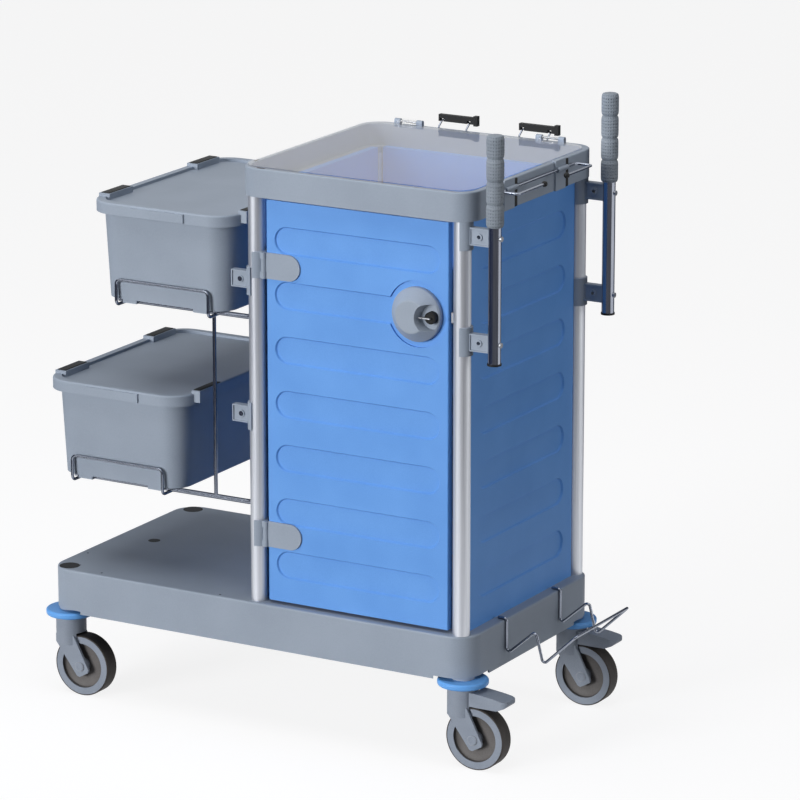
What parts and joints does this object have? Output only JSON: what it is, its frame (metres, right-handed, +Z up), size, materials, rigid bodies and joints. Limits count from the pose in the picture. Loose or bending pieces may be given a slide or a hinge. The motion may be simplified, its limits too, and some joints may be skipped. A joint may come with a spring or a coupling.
{
  "type": "ward service cart with lockable cupboard, wire rack bins and push handles",
  "caption": "Low tray-based ward cart with a ribbed lockable cupboard under a clear hinged lid, lidded bins on a wire rack at one end and upright push handles at the other, on swivel casters.",
  "frame": {"origin": "on the floor under the middle of the bounding box", "axes": "+Z up, +X to the push-handle end, -Y towards the cupboard door (front)"},
  "size_m": [0.9111, 0.437, 0.997],
  "materials": {
    "grey_moulding": "fine satin moulded grain",
    "blue_panel": "satin moulded panel",
    "blue_bumper": "smooth soft bumper",
    "black_plastic": "satin black",
    "caster_grey": "moulded nylon",
    "tread_rubber": "dull rubber tread",
    "plated_steel": "zinc plated",
    "anodised_tube": "satin anodised, drawn lengthwise",
    "chrome_tube": "polished plate",
    "chrome_wire": "polished plate",
    "grip_rubber": "ribbed moulded rubber",
    "clear_sheet": "clear polished polycarbonate",
    "lock_metal": "black barrel with a bright key"
  },
  "bodies": {
    "cart": {"base_tray": "grey_moulding", "top_frame": "grey_moulding", "hinge_brackets": "grey_moulding", "handle_clamps": "grey_moulding", "rack_clamps": "grey_moulding", "rail_brackets": "grey_moulding", "side_panel_right": "blue_panel", "side_panel_left": "blue_panel", "back_panel": "blue_panel", "shelf": "blue_panel", "bumper_discs": "blue_bumper", "deck_plugs": "black_plastic", "handle_caps": "black_plastic", "caster_stems": "plated_steel", "hinge_pins": "plated_steel", "lock_strike": "plated_steel", "clamp_screws": "plated_steel", "post_fl": "anodised_tube", "post_fr": "anodised_tube", "post_rl": "anodised_tube", "post_rr": "anodised_tube", "handle_tube_f": "chrome_tube", "handle_tube_r": "chrome_tube", "bin_rack": "chrome_wire", "wire_holder": "chrome_wire", "clip_wires": "chrome_wire", "handle_grip_f": "grip_rubber", "handle_grip_r": "grip_rubber"},
    "lid": {"top_lid": "clear_sheet"},
    "door_leaf": {"door": "blue_panel", "hinge_strap_upper": "grey_moulding", "hinge_strap_lower": "grey_moulding", "lock_housing": "grey_moulding"},
    "lock_turn": {"lock_knob": "lock_metal", "lock_cam": "plated_steel"},
    "caster_fl": {"caster_fork_fl": "caster_grey", "caster_axle_fl": "plated_steel"},
    "wheel_fl": {"caster_hub_fl": "caster_grey", "caster_tyre_fl": "tread_rubber"},
    "caster_fr": {"caster_fork_fr": "caster_grey", "caster_axle_fr": "plated_steel"},
    "wheel_fr": {"caster_hub_fr": "caster_grey", "caster_tyre_fr": "tread_rubber"},
    "caster_rl": {"caster_fork_rl": "caster_grey", "caster_axle_rl": "plated_steel"},
    "wheel_rl": {"caster_hub_rl": "caster_grey", "caster_tyre_rl": "tread_rubber"},
    "caster_rr": {"caster_fork_rr": "caster_grey", "caster_axle_rr": "plated_steel"},
    "wheel_rr": {"caster_hub_rr": "caster_grey", "caster_tyre_rr": "tread_rubber"},
    "pedal_fr": {"brake_pedal_fr": "caster_grey"},
    "pedal_rr": {"brake_pedal_rr": "caster_grey"},
    "bin_lower": {"bin_body_lower": "grey_moulding"},
    "bin_cover_lower": {"bin_lid_lower": "grey_moulding"},
    "bin_upper": {"bin_body_upper": "grey_moulding"},
    "bin_cover_upper": {"bin_lid_upper": "grey_moulding"},
    "clip_left": {"clip_jaw_left": "black_plastic"},
    "clip_right": {"clip_jaw_right": "black_plastic"},
    "rail": {"bag_rail": "chrome_wire"}
  },
  "joints": [
    {"name": "swivel_fl", "type": "hinge", "parent": "cart", "child": "caster_fl", "pos_m": [-0.41563, -0.1785, 0.119], "axis": [0, 0, 1], "continuous": true},
    {"name": "spin_fl", "type": "hinge", "parent": "caster_fl", "child": "wheel_fl", "pos_m": [-0.38812, -0.1785, 0.05], "axis": [0, 1, 0], "continuous": true},
    {"name": "swivel_fr", "type": "hinge", "parent": "cart", "child": "caster_fr", "pos_m": [0.30638, -0.1785, 0.119], "axis": [0, 0, 1], "continuous": true},
    {"name": "spin_fr", "type": "hinge", "parent": "caster_fr", "child": "wheel_fr", "pos_m": [0.33387, -0.1785, 0.05], "axis": [0, 1, 0], "continuous": true},
    {"name": "swivel_rl", "type": "hinge", "parent": "cart", "child": "caster_rl", "pos_m": [-0.41563, 0.1785, 0.119], "axis": [0, 0, 1], "continuous": true},
    {"name": "spin_rl", "type": "hinge", "parent": "caster_rl", "child": "wheel_rl", "pos_m": [-0.38812, 0.1785, 0.05], "axis": [0, 1, 0], "continuous": true},
    {"name": "swivel_rr", "type": "hinge", "parent": "cart", "child": "caster_rr", "pos_m": [0.30638, 0.1785, 0.119], "axis": [0, 0, 1], "continuous": true},
    {"name": "spin_rr", "type": "hinge", "parent": "caster_rr", "child": "wheel_rr", "pos_m": [0.33387, 0.1785, 0.05], "axis": [0, 1, 0], "continuous": true},
    {"name": "brake_fr", "type": "hinge", "parent": "caster_fr", "child": "pedal_fr", "pos_m": [0.33737, -0.1785, 0.113], "axis": [0, 1, 0], "range_deg": [0, 10]},
    {"name": "brake_rr", "type": "hinge", "parent": "caster_rr", "child": "pedal_rr", "pos_m": [0.33737, 0.1785, 0.113], "axis": [0, 1, 0], "range_deg": [0, 10]},
    {"name": "door_swing", "type": "hinge", "parent": "cart", "child": "door_leaf", "pos_m": [-0.03642, -0.1955, 0.54], "axis": [0, 0, -1], "range_deg": [0, 120]},
    {"name": "lock_turn", "type": "hinge", "parent": "door_leaf", "child": "lock_turn", "pos_m": [0.26308, -0.1865, 0.7096], "axis": [0, 1, 0], "range_deg": [0, 90]},
    {"name": "lid_swing", "type": "hinge", "parent": "cart", "child": "lid", "pos_m": [0.12687, 0.1905, 0.9135], "axis": [-1, 0, 0], "range_deg": [0, 100]},
    {"name": "bin_lift_lower", "type": "slide", "parent": "cart", "child": "bin_lower", "axis": [0, 0, 1], "range_m": [0, 0.045]},
    {"name": "bin_lid_lift_lower", "type": "slide", "parent": "bin_lower", "child": "bin_cover_lower", "axis": [0, 0, 1], "range_m": [0, 0.06]},
    {"name": "bin_lift_upper", "type": "slide", "parent": "cart", "child": "bin_upper", "axis": [0, 0, 1], "range_m": [0, 0.045]},
    {"name": "bin_lid_lift_upper", "type": "slide", "parent": "bin_upper", "child": "bin_cover_upper", "axis": [0, 0, 1], "range_m": [0, 0.06]},
    {"name": "clip_left_tilt", "type": "hinge", "parent": "cart", "child": "clip_left", "pos_m": [0.08007, 0.2085, 0.919], "axis": [-1, 0, 0], "range_deg": [0, 60]},
    {"name": "clip_right_tilt", "type": "hinge", "parent": "cart", "child": "clip_right", "pos_m": [0.22507, 0.2085, 0.919], "axis": [-1, 0, 0], "range_deg": [0, 60]},
    {"name": "bag_rail_fold", "type": "hinge", "parent": "cart", "child": "rail", "pos_m": [0.33637, -0.001, 0.895], "axis": [0, 1, 0], "range_deg": [0, 90]}
  ]
}
